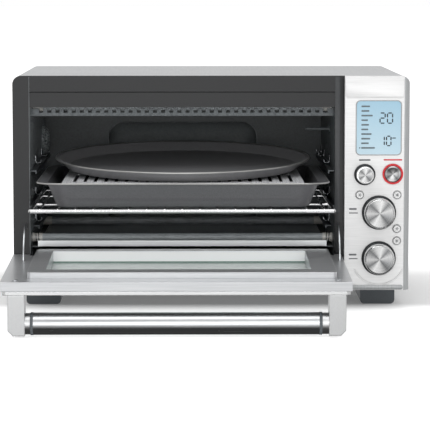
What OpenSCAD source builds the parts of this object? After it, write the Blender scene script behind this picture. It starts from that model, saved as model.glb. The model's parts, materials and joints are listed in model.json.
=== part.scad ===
// Compact countertop convection toaster oven, shown with its door open.
// Millimetres. +X is the viewer's right, +Y runs from the front to the back, +Z is up.
// The modules draw with Y = 0 at the front frame's plane; placed() then moves the
// origin to the middle of the whole object's footprint.

/* [Housing] */
// Width of the housing
body_w = 470; // [430:2:570]
// Height of the housing above the feet
house_h = 254; // [240:2:320]
// Depth from the front frame to the rear panel
body_d = 308; // [302:2:400]
// Height of the feet
foot_h = 28; // [26:1:45]
// Radius of the housing's upper corners
corner_r = 10; // [4:1:20]
// Thickness of the housing and liner sheet
sheet_t = 1.2; // [0.8:0.1:2]
// Thickness of the front frame
frame_t = 2.5; // [2:0.5:5]
// Depth of the cover that stands out behind the rear panel
cover_d = 30; // [24:1:50]

/* [Cavity] */
// Width of the frame strip left of the cavity
strip_l = 20.1; // [18:0.5:40]
// Width of the frame strip between the cavity and the control fascia
strip_r = 11.2; // [11:0.2:24]
// Height of the cavity floor above the housing's underside
floor_up = 38; // [36:1:50]
// Height of the frame's rail between the opening and the header strip
rail_h = 18.4; // [14:0.2:30]
// How far the cavity ceiling is above the opening's top edge
ceiling_up = 3.4; // [1:0.2:8]
// Gap between the cavity's back wall and the rear panel's outer face
back_gap = 18; // [10:1:40]
// Clearance on each side of the round pan where it enters the recess
recess_side = 7.05; // [3:0.05:15]
// Depth of the pan recess
recess_d = 35; // [28:1:60]
// Drop from the opening's top edge to the recess's upper edge
recess_drop = 35.6; // [20:0.2:45]
// Corner radius of the recess
recess_r = 20; // [8:1:30]

/* [Door] */
// Thickness of the door panel
door_t = 10.5; // [9:0.5:16]
// Thickness of the bright outer skin on the door
skin_t = 4.5; // [2:0.5:6]
// Height of the raised inner frame above the door's inner face
plateau_h = 7; // [4:0.5:7]
// Gap between the closed door and the front frame
door_gap = 1.5; // [1:0.5:3]
// Gap between the closed door and the control fascia
door_side_gap = 3.4; // [2:0.2:8]
// Angle the door opens to
open_a = 92; // [80:1:95]
// Height of the hinge axis above the housing's underside
hinge_up = 36.5; // [34:0.5:45]
// Height of the header strip left above the closed door
header_h = 19; // [15:1:30]
// Thickness of the window panes
pane_t = 3; // [2:0.5:4]
// Radius of the hinge pins
pin_r = 2.5; // [2:0.25:3.5]
// Radial clearance of the hinge pins
pin_fit = 0.05; // [0.02:0.01:0.1]
// Radius of the door's check arms
arm_r = 40; // [34:1:55]

/* [Handle] */
// Diameter of the handle bar
bar_d = 25; // [16:1:30]
// From the door's outer skin to the far side of the bar
handle_reach = 46; // [38:1:46.5]
// Width of the handle posts
post_w = 19; // [12:1:28]
// Distance of the bar's axis below the door's top edge
bar_down = 12; // [10:1:40]

/* [Controls] */
// Margin of the fascia left of the display
lcd_left = 13.4; // [10:0.2:30]
// Margin of the fascia right of the display, with its rounded side edge
lcd_right = 10.4; // [9:0.2:20]
// Margin of the fascia above the display
lcd_above = 29; // [10:1:34]
// How far the fascia stands in front of the frame
fascia_proud = 12; // [8:1:20]
// Diameter of the temperature and time dials
big_dial_d = 40.6; // [30:0.1:49]
// Diameter of the function dial
small_dial_d = 25.2; // [18:0.1:30]
// Diameter of the start button's face
start_d = 19.3; // [12:0.5:20]
// Diameter of the four icon buttons
icon_d = 9.4; // [6:0.2:10]
// Width of the display window
lcd_w = 53.2; // [52:0.2:70]
// Height of the display window
lcd_h = 64; // [50:0.2:72]
// Gap around each button
button_gap = 0.4; // [0.2:0.1:0.8]
// Travel of the start button
start_press = 1.5; // [0.5:0.1:2]
// Travel of the icon buttons
icon_press = 0.8; // [0.4:0.1:1.5]

/* [Accessories] */
// Clearance between the wire rack and each side wall
rack_gap = 3.35; // [2:0.05:5]
// Clearance between the wire rack and the back wall when it is home
rack_back = 6; // [4:1:20]
// Height of the wire rack above the cavity floor
rack_up = 63.5; // [55:0.5:80]
// Distance between the rack's long wires
wire_pitch = 20.5; // [14:0.5:30]
// How much narrower the roasting pan is than the wire rack
roast_side = 15; // [12:1:60]
// Clearance between the roasting pan and the back wall when it is home
roast_back = 10; // [6:1:60]
// Height of the roasting pan
roast_h = 29.4; // [20:0.2:32]
// Clearance between the pizza pan and the back of the recess
pizza_back = 6; // [4:1:12]
// Least gap between the pizza pan and the front frame's plane
pizza_front = 11; // [8:1:60]
// Least gap between the pizza pan and each side wall
pizza_side = 12; // [10:1:40]
// How far the rack comes out when the door opens
rack_travel = 100; // [80:1:105]

/* [Hidden] */
eps = 0.01;
clear = 0.3;
fascia_w = lcd_left + lcd_w + lcd_right;
cavity_w = body_w - strip_l - strip_r - fascia_w;
cavity_d = body_d - back_gap;
opening_h = house_h - floor_up - header_h - rail_h;
recess_top = opening_h - recess_drop;
z0 = foot_h;
top_z = z0 + house_h;
left_x = -body_w / 2;
right_x = body_w / 2;
cav_l = left_x + strip_l;
cav_r = cav_l + cavity_w;
cav_c = (cav_l + cav_r) / 2;
floor_z = z0 + floor_up;
open_top = floor_z + opening_h;
ceil_z = open_top + ceiling_up;
fascia_l = right_x - fascia_w;
fascia_r = right_x - 6.5;
face_y = -fascia_proud;
face_t = 2;
header_z = top_z - header_h;

hinge_z = z0 + hinge_up;
door_in = -door_gap;
door_out = door_in - door_t;
hinge_y = door_in - door_t / 2 - 0.25;
skin_y = door_out - skin_t;
door_l = left_x;
door_r = fascia_l - door_side_gap;
door_b = hinge_z - 3;
door_top = header_z - 1;
plat_l = cav_l + 8.3;
plat_r = cav_r - 7.8;
plat_b = hinge_z + 2.5;
plat_top = door_top - 24;
plat_y = door_in + plateau_h;
win_l = plat_l + 20;
win_r = plat_r - 28;
win_b = plat_b + 11;
win_top = plat_top - 22;
plateau_sweep = norm([plat_y - hinge_y, plat_b - hinge_z]);

bar_z = door_top - bar_down;
bar_y = skin_y - handle_reach + bar_d / 2;
post_l = door_l + 8;
post_r = door_r - 6.6 - post_w;
elbow_w = 6;
ring_w = 3;
bar_l = post_l + post_w + elbow_w + ring_w;
bar_r = post_r - elbow_w - ring_w - 1.5;

ear_t = 3;
ear_xs = [cav_l + 2.9, cav_r - 3.8];
notch_w = 6;
arm_t = 1.5;
arm_h = 6;
arm_xs = [left_x + 15, cav_r + 3.7];
arm_end = -27;

tray_z = hinge_z + plateau_sweep + 0.35;
tray_l = cav_l + 7.9;
tray_r = cav_r - 8.3;
tube_r = 4.8;
low_tube_z = tray_z + 1 + 2.2 + tube_r;
low_tube_ys = [40, cavity_d - 58];
top_tube_z = ceil_z - 6.5;
top_tube_ys = [70, cavity_d - 140, cavity_d - 58];
ceramic_w = 12;
guard_z = open_top - 11.6;
guard_pitch = 9.7;
guard_ys = [24, cavity_d - 28];

rack_w = cavity_w - 2 * rack_gap;
rack_z = floor_z + rack_up;
rack_wire = 5;
rack_c = cav_c;
rack_front = 14;
rack_d = cavity_d - rack_front - rack_back;
long_wire = 2.6;
long_z = rack_z + 1.4;
ledge_t = 1.5;
ledge_w = 7;
ledge_zs = [floor_z + 32, rack_z - rack_wire / 2 - clear, rack_z + 39.3];
roast_z = long_z + long_wire / 2 + clear;
roast_top = roast_z + roast_h;
roast_c = cav_c + 1;
roast_front = 14;
roast_w = rack_w - roast_side;
roast_d = cavity_d - roast_front - roast_back;
lip_w = 12.5;
pan_wall = 1.2;
broil_w = 2 * (roast_w / 2 - lip_w) - 35;
broil_y0 = roast_front + 10;
broil_y1 = roast_front + roast_d - 12;
pizza_d = min(cavity_d + recess_d - pizza_back - pizza_front, cavity_w - 2 * pizza_side);
pizza_y = cavity_d + recess_d - pizza_back - pizza_d / 2;
pizza_tilt = 2.9;
pizza_flat = pizza_d / 2 - 14;
pizza_h = 12;
prop_y = roast_front + roast_d - 4;
pizza_z = roast_top + clear + 0.1 + (pizza_y - roast_front) * tan(pizza_tilt);
prop_z = pizza_z + (prop_y - pizza_y) * tan(pizza_tilt) - clear - 0.3;

// The recess clears the part of the round pan that lies behind the cavity's back wall.
recess_w = 2 * sqrt(pow(pizza_d / 2, 2) - pow(cavity_d - pizza_y, 2)) + 2 * recess_side;
recess_c = cav_c - 0.5;
recess_b = floor_z - 2;
recess_back = cavity_d + recess_d;
cover_back = max(body_d + cover_d, recess_back + sheet_t + 6);

lcd_c = [right_x - lcd_right - lcd_w / 2, top_z - lcd_above - lcd_h / 2];
lcd_bottom = lcd_c[1] - lcd_h / 2;
big_r = big_dial_d / 2;
icon_row = lcd_bottom - 47.6;
icon_x = right_x - 14.6;
function_c = [fascia_l + 23.7, lcd_bottom - 23.3];
start_c = [right_x - 20, lcd_bottom - 22.8];
temp_c = [icon_x - 1.3 - big_r, icon_row - big_r - 0.6];
time_c = [temp_c[0], temp_c[1] - 2 * big_r - 13.9];
icon_cs = [[fascia_l + 18, icon_row], [icon_x, icon_row],
           [icon_x - 0.1, temp_c[1] - big_r + 1], [icon_x - 0.1, temp_c[1] - big_r - 13.5]];
shaft_r = 3;
shaft_fit = 0.05;
board_y = 14;
start_stem_y = 5;
icon_stem_y = 5.2;

fan_y = cavity_d - 120;
fan_z = (floor_z + ceil_z) / 2 - 7;
fan_open_r = 50;
chamber_r = 54;
chamber_w = 24;
lamp_y = cavity_d - 50;
lamp_z = ceil_z - 58.5;
lamp_r = 20;
foot_w = 42;
foot_d = 80;
foot_xs = [-1, 1] * (body_w / 2 - 31);
foot_ys = [65, body_d - 18 - foot_d];
gland = [right_x - 45, z0 + 32];
gland_r = 4;
gland_l = 18;

// The farthest point of the open door, and so the middle of the footprint.
function open_y(y, z) = hinge_y + (y - hinge_y) * cos(open_a) - (z - hinge_z) * sin(open_a);
front_y = min([open_y(door_in, door_top), open_y(door_out, door_top), open_y(skin_y, door_top - 1),
               open_y(bar_y, bar_z) - bar_d / 2 - 0.3]);
shift_y = -(front_y + cover_back) / 2;

// ---- shared shapes -------------------------------------------------------------------

// Moves everything from the front frame's plane to the object's own origin.
module placed() { translate([0, shift_y, 0]) children(); }

// A box between two corners.
module block(a, b) { translate(a) cube(b - a); }

// A flat rounded rectangle between two corners, made of true arcs.
module rounded(a, b, r) {
    translate([a[0] + r, a[1]]) square([b[0] - a[0] - 2 * r, b[1] - a[1]]);
    translate([a[0], a[1] + r]) square([b[0] - a[0], b[1] - a[1] - 2 * r]);
    for (x = [a[0] + r, b[0] - r], y = [a[1] + r, b[1] - r])
        translate([x, y]) circle(r, $fn = 48);
}

// Extrudes an outline drawn in X and Z along Y, from y0 to y1.
module along_y(y0, y1) {
    translate([0, y1, 0]) rotate([90, 0, 0]) linear_extrude(y1 - y0) children();
}

// A cylinder along Y, from y0 to y1, at [x, z].
module rod_y(c, r, y0, y1) {
    translate([c[0], y1, c[1]]) rotate([90, 0, 0]) cylinder(r = r, h = y1 - y0, $fn = 64);
}

// A cylinder along X, from x0 to x1, at [y, z].
module rod_x(c, r, x0, x1) {
    translate([x0, c[0], c[1]]) rotate([0, 90, 0]) cylinder(r = r, h = x1 - x0, $fn = 64);
}

// Turns what is drawn with the door closed to the open rest position.
module opened() {
    translate([0, hinge_y, hinge_z]) rotate([open_a, 0, 0]) translate([0, -hinge_y, -hinge_z])
        children();
}

// Moves what is drawn with the rack home to where the open door has drawn it.
module drawn_out() { translate([0, -rack_travel, 0]) children(); }

// Housing outline in X and Z, with rounded upper corners and a square base.
module house_outline(inset = 0) {
    r = corner_r - inset;
    translate([left_x + inset, z0 + inset])
        square([body_w - 2 * inset, house_h - 2 * inset - r]);
    translate([left_x + inset + r, z0 + inset])
        square([body_w - 2 * inset - 2 * r, house_h - 2 * inset]);
    for (x = [left_x + corner_r, right_x - corner_r])
        translate([x, top_z - corner_r]) circle(r, $fn = 64);
}

// A row of upright slots through a sheet that lies across Y.
module slots_y(x0, z_low, n, pitch, w, h, y0, y1) {
    for (i = [0 : n - 1])
        block([x0 + i * pitch, y0, z_low], [x0 + i * pitch + w, y1, z_low + h]);
}

// ---- housing -------------------------------------------------------------------------

module outer_wrap() color("gainsboro") difference() {
    along_y(frame_t, body_d - sheet_t) house_outline();
    along_y(0, body_d) house_outline(sheet_t);
    block([left_x + sheet_t, 0, z0 - 1], [right_x - sheet_t, body_d, z0 + 2 * sheet_t]);
    for (i = [0 : 11], s = [0, 1])
        block([right_x - 3, fan_y - 20 + i * 10, z0 + 60 + s * 50],
              [right_x + 1, fan_y - 16 + i * 10, z0 + 96 + s * 50]);
}

module base_plate() color("silver") difference() {
    block([left_x + sheet_t, frame_t, z0], [right_x - sheet_t, body_d - sheet_t, z0 + sheet_t]);
    for (i = [0 : 9], y = [body_d - 138, body_d - 93])
        block([-70 + i * 14, y, z0 - 1], [-64 + i * 14, y + 32, z0 + 3]);
}

module rear_panel() color("dimgray") difference() {
    along_y(body_d - sheet_t, body_d) house_outline();
    block([recess_c - recess_w / 2 - 9, 0, recess_b - 9],
          [recess_c + recess_w / 2 + 9, body_d + 1, floor_z + recess_top + 12]);
    rod_y(gland, gland_r + 3, body_d - 5, body_d + 5);
    slots_y(right_x - 75, z0 + 120, 6, 10, 5, 60, body_d - 5, body_d + 5);
    slots_y(left_x + 20, z0 + 150, 4, 10, 5, 50, body_d - 5, body_d + 5);
}

module rear_cover() color("dimgray") {
    a = [recess_c - recess_w / 2 - 20, recess_b - 20];
    b = [recess_c + recess_w / 2 + 20, floor_z + recess_top + 22];
    difference() {
        along_y(body_d, cover_back) rounded(a, b, 22);
        along_y(body_d - 1, cover_back - sheet_t)
            rounded(a + [sheet_t, sheet_t], b - [sheet_t, sheet_t], 22 - sheet_t);
    }
}

module front_frame() color([0.23, 0.23, 0.24]) difference() {
    block([left_x, 0, z0], [fascia_l, frame_t, header_z - 0.6]);
    block([cav_l, -1, floor_z], [cav_r, frame_t + 1, open_top]);
    for (x = arm_xs)
        block([x - arm_t, -1, hinge_z + arm_r - 4.8], [x + arm_t, frame_t + 1, hinge_z + arm_r + 3]);
}

module front_header() color([0.25, 0.25, 0.26]) intersection() {
    along_y(-1, frame_t) house_outline();
    block([left_x, -2, header_z], [fascia_l, frame_t + 1, top_z + 1]);
}

module feet() color([0.29, 0.31, 0.33]) difference() {
    for (x = foot_xs, y = foot_ys) along_y(y, y + foot_d) {
        rounded([x - foot_w / 2, 0.6], [x + foot_w / 2, foot_h], 5);
        translate([x - foot_w / 2, foot_h / 2]) square([foot_w, foot_h / 2]);
    }
    for (x = foot_xs, y = foot_ys)
        translate([x, y + foot_d / 2, -1]) cylinder(r = 12, h = 4, $fn = 64);
}

module foot_pads() color("black")
    for (x = foot_xs, y = foot_ys)
        translate([x, y + foot_d / 2, 0]) cylinder(r = 12, h = 3, $fn = 64);

module cord_gland() color("black") difference() {
    union() {
        rod_y(gland, gland_r + 3, body_d - 6, body_d + gland_l - 6);
        rod_y(gland, gland_r + 6, body_d, body_d + 4);
    }
    rod_y(gland, gland_r, body_d - 7, body_d + gland_l - 5);
}

module rear_screws() color("silver")
    for (x = [left_x + 12, right_x - 12], z = [z0 + 15, z0 + 120, top_z - 14])
        rod_y([x, z], 3.5, body_d, body_d + 2);

// ---- cavity --------------------------------------------------------------------------

module cavity_floor() color([0.2, 0.21, 0.21])
    block([cav_l, frame_t, floor_z - sheet_t], [cav_r, cavity_d, floor_z]);

module cavity_ceiling() color([0.2, 0.21, 0.21])
    block([cav_l, frame_t, ceil_z], [cav_r, cavity_d, ceil_z + sheet_t]);

module cavity_wall_left() color([0.2, 0.21, 0.21]) difference() {
    block([cav_l - sheet_t, frame_t, floor_z - sheet_t], [cav_l, cavity_d, ceil_z + sheet_t]);
    rod_x([lamp_y, lamp_z], lamp_r - 3, cav_l - 3, cav_l + 1);
}

module cavity_wall_right() color([0.2, 0.21, 0.21]) difference() {
    block([cav_r, frame_t, floor_z - sheet_t], [cav_r + sheet_t, cavity_d, ceil_z + sheet_t]);
    rod_x([fan_y, fan_z], fan_open_r, cav_r - 1, cav_r + 3);
}

module recess_outline(grow = 0) {
    rounded([recess_c - recess_w / 2 - grow, recess_b - grow],
            [recess_c + recess_w / 2 + grow, floor_z + recess_top + grow], recess_r + grow);
}

module cavity_back() color([0.2, 0.21, 0.21]) difference() {
    block([cav_l - sheet_t, cavity_d, recess_b - 3 * sheet_t],
          [cav_r + sheet_t, cavity_d + sheet_t, ceil_z + sheet_t]);
    along_y(cavity_d - 1, cavity_d + 3) recess_outline();
}

module pan_recess() color([0.25, 0.27, 0.28]) difference() {
    along_y(cavity_d + sheet_t, recess_back + sheet_t) recess_outline(sheet_t);
    along_y(cavity_d - 1, recess_back) recess_outline();
}

// Three pairs of ledges that carry the rack, the lowest clear of the heaters, and below
// them a pair that carries the crumb tray.
module rack_guides() color([0.3, 0.31, 0.32])
    for (i = [0 : 2], side = [0, 1]) {
        x0 = side == 0 ? cav_l : cav_r - ledge_w;
        x_lip = side == 0 ? cav_l + ledge_w - ledge_t : cav_r - ledge_w;
        y0 = i == 0 ? 60 : 12;
        y1 = i == 0 ? cavity_d - 78 : cavity_d - 8;
        block([x0, y0, ledge_zs[i] - ledge_t], [x0 + ledge_w, y1, ledge_zs[i]]);
        block([x_lip, y0, ledge_zs[i] - 4], [x_lip + ledge_t, y1, ledge_zs[i]]);
        block([side == 0 ? cav_l : cav_r - 11, 20, tray_z - clear - ledge_t],
              [side == 0 ? cav_l + 11 : cav_r, cavity_d - 10, tray_z - clear]);
    }

// Comb-edged guard under the upper heaters.
module top_guard() color([0.4, 0.42, 0.43]) {
    n = floor((cavity_w - 14) / guard_pitch);
    for (y = guard_ys) difference() {
        block([cav_l, y, guard_z], [cav_r, y + 2, guard_z + 9]);
        for (i = [0 : n])
            block([cav_l + 10 + i * guard_pitch, y - 1, guard_z + 4],
                  [cav_l + 5 + (i + 1) * guard_pitch, y + 3, guard_z + 10]);
    }
    for (i = [0 : 3 : n])
        translate([cav_l + 7.5 + i * guard_pitch, guard_ys[0] + 1, guard_z + 2])
            rotate([-90, 0, 0]) cylinder(r = 1, h = guard_ys[1] - guard_ys[0], $fn = 16);
}

module heater_tubes() color([0.6, 0.62, 0.62]) {
    for (y = top_tube_ys)
        rod_x([y, top_tube_z], tube_r - 0.3, cav_l + ceramic_w, cav_r - ceramic_w);
    for (y = low_tube_ys)
        rod_x([y, low_tube_z], tube_r, cav_l + ceramic_w, cav_r - ceramic_w);
}

module heater_ceramics() color("white") {
    for (y = top_tube_ys, x = [cav_l, cav_r - ceramic_w])
        rod_x([y, top_tube_z], tube_r + 0.7, x, x + ceramic_w);
    for (y = low_tube_ys, x = [cav_l, cav_r - ceramic_w])
        rod_x([y, low_tube_z], tube_r + 0.7, x, x + ceramic_w);
}

module temperature_probe() color("silver") {
    rod_x([95, ceil_z - 35], 2, cav_r - 30, cav_r);
    rod_x([95, ceil_z - 35], 5, cav_r - 2, cav_r);
}

module lamp_lens() color([0.85, 0.88, 0.9, 0.6]) {
    rod_x([lamp_y, lamp_z], lamp_r, cav_l, cav_l + 5);
    rod_x([lamp_y, lamp_z], lamp_r - 2.5, cav_l, cav_l + 9);
}

module lamp_bulb() color([1, 0.95, 0.8])
    rod_x([lamp_y, lamp_z], 4, cav_l - 14, cav_l - 2);

module lamp_housing() color("silver") difference() {
    block([cav_l - 15.5, lamp_y - 24, lamp_z - 24], [cav_l - sheet_t, lamp_y + 24, lamp_z + 24]);
    block([cav_l - 14, lamp_y - 22.5, lamp_z - 22.5], [cav_l, lamp_y + 22.5, lamp_z + 22.5]);
}

// Perforated disc that fills the fan's hole in the right wall.
module fan_grille() color([0.35, 0.36, 0.37]) difference() {
    rod_x([fan_y, fan_z], fan_open_r, cav_r, cav_r + sheet_t);
    for (ring = [1 : 4], i = [0 : ring * 6 - 1])
        rod_x([fan_y, fan_z] + ring * 10.5 * [cos(i * 60 / ring), sin(i * 60 / ring)],
              3.2, cav_r - 3, cav_r + 3);
}

module fan_chamber() color("silver") difference() {
    rod_x([fan_y, fan_z], chamber_r, cav_r + sheet_t, cav_r + sheet_t + chamber_w);
    rod_x([fan_y, fan_z], chamber_r - sheet_t, cav_r, cav_r + chamber_w);
    rod_x([fan_y, fan_z], 5, cav_r, cav_r + chamber_w + 5);
}

module fan_motor() color([0.3, 0.3, 0.32]) difference() {
    x = cav_r + sheet_t + chamber_w;
    union() {
        rod_x([fan_y, fan_z], 24, x + 2, x + 34);
        for (a = [0 : 120 : 359])
            rod_x([fan_y + 18 * cos(a), fan_z + 18 * sin(a)], 2.5, x, x + 3);
    }
    rod_x([fan_y, fan_z], shaft_r + shaft_fit, x - 1, x + 26);
}

module fan_blade() color("silver") {
    x = cav_r + 4;
    rod_x([fan_y, fan_z], 9, x, x + 12);
    rod_x([fan_y, fan_z], shaft_r, x + 5, cav_r + sheet_t + chamber_w + 22);
    for (a = [0 : 60 : 359])
        translate([x + 6, fan_y, fan_z]) rotate([a, 0, 0]) translate([0, 0, 7])
            rotate([0, 0, 35]) translate([-0.6, -7, 0]) cube([1.2, 14, 36]);
}

// ---- hinge ---------------------------------------------------------------------------

// Ears fixed to the frame. Each has a nose around the hinge axis and carries the pin
// that turns in the door's two bores beside it.
module hinge_ears() color("silver") for (x = ear_xs) {
    difference() {
        union() {
            rod_x([hinge_y, hinge_z], 4.5, x - ear_t / 2, x + ear_t / 2);
            translate([x - ear_t / 2, hinge_y, hinge_z]) rotate([-40, 0, 0])
                translate([0, 0, -3]) cube([ear_t, 10, 6]);
            block([x - 6, -1, z0 + 12], [x + 6, 0, hinge_z - 5.5]);
            block([x - ear_t / 2, -4.5, hinge_z - 14], [x + ear_t / 2, 0, hinge_z - 5.5]);
        }
        block([x - 7, 0, z0], [x + 7, 20, top_z]);
    }
    rod_x([hinge_y, hinge_z], pin_r, x - 9, x + 9);
}

// ---- door, drawn closed --------------------------------------------------------------

module door_panel() color([0.78, 0.8, 0.81]) opened() difference() {
    block([door_l, door_out, door_b], [door_r, door_in, door_top]);
    block([win_l, door_out - 1, win_b], [win_r, door_in + 1, win_top]);
    // Rebate for the inner pane, then pockets that leave the panel a pressed shell.
    block([win_l - 5, door_out - 1, win_b - 5], [win_r + 5, door_out + pane_t, win_top + 5]);
    block([plat_l + 1, door_out + 2, plat_b + 10], [win_l - 7, door_in + 1, plat_top]);
    block([win_r + 7, door_out + 2, plat_b + 10], [plat_r - 1, door_in + 1, plat_top]);
    for (x = ear_xs) {
        rod_x([hinge_y, hinge_z], 8, x - notch_w / 2, x + notch_w / 2);
        rod_x([hinge_y, hinge_z], pin_r + pin_fit, x - 9.5, x + 9.5);
    }
}

module door_skin() color([0.86, 0.87, 0.88]) opened() difference() {
    along_y(skin_y, door_out) rounded([door_l + 2, hinge_z + 1], [door_r - 2, door_top - 1], 4);
    block([win_l - 2, skin_y - 1, win_b - 2], [win_r + 2, door_out + 1, win_top + 2]);
}

module door_inner_frame() color([0.82, 0.83, 0.84]) opened() difference() {
    along_y(door_in, plat_y) rounded([plat_l, plat_b], [plat_r, plat_top], 4);
    block([win_l, door_in - 1, win_b], [win_r, plat_y + 1, win_top]);
}

module door_glass_inner() color([0.7, 0.78, 0.76, 0.5]) opened()
    block([win_l - 5, door_out, win_b - 5], [win_r + 5, door_out + pane_t, win_top + 5]);

module door_glass_outer() color([0.5, 0.55, 0.55, 0.5]) opened()
    block([win_l - 2, skin_y + 0.5, win_b - 2], [win_r + 2, skin_y + 0.5 + pane_t, win_top + 2]);

module handle_bar() color([0.8, 0.81, 0.82]) opened() difference() {
    rod_x([bar_y, bar_z], bar_d / 2, bar_l, bar_r);
    rod_x([bar_y, bar_z], bar_d / 2 - 2, bar_l - 1, bar_r + 1);
}

module handle_posts() color([0.82, 0.83, 0.84]) opened() {
    half = bar_d / 2 - 0.5;
    for (side = [0, 1]) {
        x0 = side == 0 ? post_l : post_r;
        e0 = side == 0 ? post_l + post_w : bar_r + ring_w;
        e1 = side == 0 ? post_l + post_w + elbow_w : post_r;
        difference() {
            block([x0, bar_y - half, bar_z - half], [x0 + post_w, skin_y, bar_z + half - 0.5]);
            translate([side == 0 ? x0 : x0 + post_w, bar_y - half, 0]) rotate([0, 0, 45])
                cube([8, 8, 3 * top_z], center = true);
        }
        rod_x([bar_y, bar_z], half, e0, e1);
    }
}

module handle_rings() color([0.3, 0.31, 0.32]) opened()
    for (x = [bar_l - ring_w, bar_r]) rod_x([bar_y, bar_z], bar_d / 2 + 0.3, x, x + ring_w);

// Flat arc arms concentric with the hinge, with a stop lug at the inner end.
module arm_sector(r0, r1, a0, a1) {
    translate([-arm_t / 2, hinge_y, hinge_z]) rotate([90, 0, 90])
        rotate([0, 0, a0]) rotate_extrude(angle = a1 - a0, $fn = 96)
            translate([r0, 0]) square([r1 - r0, arm_t]);
}

module check_arms() color("silver") opened() for (x = arm_xs) translate([x, 0, 0]) {
    intersection() {
        arm_sector(arm_r - arm_h / 2, arm_r + arm_h / 2, arm_end, 100);
        block([-5, door_in, z0], [5, 200, top_z]);
    }
    arm_sector(arm_r - arm_h, arm_r + arm_h, arm_end, arm_end + 5);
}

// ---- rack and pans, drawn home -------------------------------------------------------

module wire_rack() color([0.85, 0.85, 0.86]) drawn_out() {
    r = rack_wire / 2;
    xl = rack_c - rack_w / 2 + r;
    xr = rack_c + rack_w / 2 - r;
    y0 = rack_front + r;
    y1 = rack_front + rack_d - r;
    for (x = [xl, xr]) rod_y([x, rack_z], r, y0, y1);
    for (y = [y0, y1]) rod_x([y, rack_z], r, xl, xr);
    for (x = [xl, xr], y = [y0, y1]) translate([x, y, rack_z]) sphere(r, $fn = 32);
    for (y = [y0 + 80, y1 - 80]) rod_x([y, rack_z], 1.8, xl, xr);
    n = floor((xr - xl) / 2 / wire_pitch - 0.3);
    for (i = [-n : n]) rod_y([rack_c + i * wire_pitch, long_z], long_wire / 2, y0 - 1.5, y1 + 1.5);
}

// Outline of the pan's tub, shrunk by inset.
module tub_slab(z, inset) {
    translate([0, 0, z]) linear_extrude(eps)
        rounded([roast_c - roast_w / 2 + lip_w + inset, roast_front + 5 + inset],
                [roast_c + roast_w / 2 - lip_w - inset, roast_front + roast_d - 5 - inset],
                24 - inset / 2);
}

module roasting_pan() color([0.3, 0.3, 0.31]) drawn_out() {
    difference() {
        union() {
            hull() { tub_slab(roast_z, 9); tub_slab(roast_top - eps, 0); }
            translate([0, 0, roast_top - pan_wall]) linear_extrude(pan_wall)
                rounded([roast_c - roast_w / 2, roast_front],
                        [roast_c + roast_w / 2, roast_front + roast_d], 28);
        }
        hull() {
            tub_slab(roast_z + pan_wall, 9 + pan_wall);
            tub_slab(roast_top + eps, pan_wall);
        }
    }
    // Rear lifting strap, on which the back of the pizza pan rests.
    for (x = [-1, 1]) block([roast_c + x * 50 - 3, prop_y - 1.5, roast_top - eps],
                            [roast_c + x * 50 + 3, prop_y + 1.5, prop_z - 2]);
    block([roast_c - 53, prop_y - 1.5, prop_z - 3], [roast_c + 53, prop_y + 1.5, prop_z]);
}

// Slotted grid that stands in the roasting pan level with its rim.
module broil_rack() color([0.35, 0.35, 0.36]) drawn_out() {
    n = floor(broil_w / 12) - 2;
    deep = broil_y1 - broil_y0;
    rows = [[12, deep / 2 - 4], [deep / 2 + 8, deep - 14]];
    difference() {
        block([roast_c - broil_w / 2, broil_y0, roast_top - 1.5],
              [roast_c + broil_w / 2, broil_y1, roast_top]);
        for (i = [0 : n], row = rows)
            block([roast_c - n * 6 - 2 + i * 12, broil_y0 + row[0], roast_top - 3],
                  [roast_c - n * 6 + 2 + i * 12, broil_y0 + row[1], roast_top + 1]);
    }
    for (x = [-1, 1] * (broil_w / 2 - 10))
        block([roast_c + x - 0.6, broil_y0 + 30, roast_z + pan_wall + 0.2],
              [roast_c + x + 0.6, broil_y1 - 30, roast_top - 1.5 + eps]);
}

module pizza_pan() color([0.17, 0.17, 0.18]) drawn_out()
    translate([cav_c, pizza_y, pizza_z]) rotate([pizza_tilt, 0, 0])
        rotate_extrude($fn = 120) polygon([[0, 0], [pizza_flat, 0], [pizza_flat + 10, pizza_h - 2],
            [pizza_d / 2, pizza_h - 1.5], [pizza_d / 2, pizza_h],
            [pizza_flat + 9, pizza_h - 0.6], [pizza_flat - 0.8, 1.2], [0, 1.2]]);

module crumb_tray() color([0.75, 0.76, 0.77]) {
    block([tray_l, 15, tray_z], [tray_r, cavity_d - 6, tray_z + 1]);
    block([tray_l, 13, tray_z], [tray_r, 15, tray_z + 7]);
    for (x = [tray_l, tray_r - 1]) block([x, 15, tray_z], [x + 1, cavity_d - 6, tray_z + 2]);
}

// ---- control panel -------------------------------------------------------------------

module control_fascia() color([0.92, 0.92, 0.92]) {
    difference() {
        block([fascia_l, face_y, z0], [fascia_r, frame_t, top_z]);
        block([fascia_l + face_t, face_y + face_t, z0 + face_t],
              [fascia_r + 1, frame_t + 1, top_z - face_t]);
        along_y(face_y - 1, face_y + 5)
            rounded(lcd_c - [lcd_w, lcd_h] / 2, lcd_c + [lcd_w, lcd_h] / 2, 5);
        for (c = [function_c, temp_c, time_c]) rod_y(c, shaft_r + 0.4, face_y - 1, face_y + 5);
        rod_y(start_c, start_d / 2 + 2.6, face_y - 1, face_y + 5);
        for (c = icon_cs) rod_y(c, icon_d / 2 + button_gap, face_y - 1, face_y + 5);
    }
    // Raised arc below the time dial.
    intersection() {
        translate([time_c[0], face_y, time_c[1]]) rotate([90, 0, 0]) rotate([0, 0, 205])
            rotate_extrude(angle = 130, $fn = 96) translate([big_r + 10.7, -0.5])
                square([1.4, 1.1]);
        block([fascia_l, face_y - 2, z0], [fascia_r, face_y + 1, top_z]);
    }
}

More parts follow.
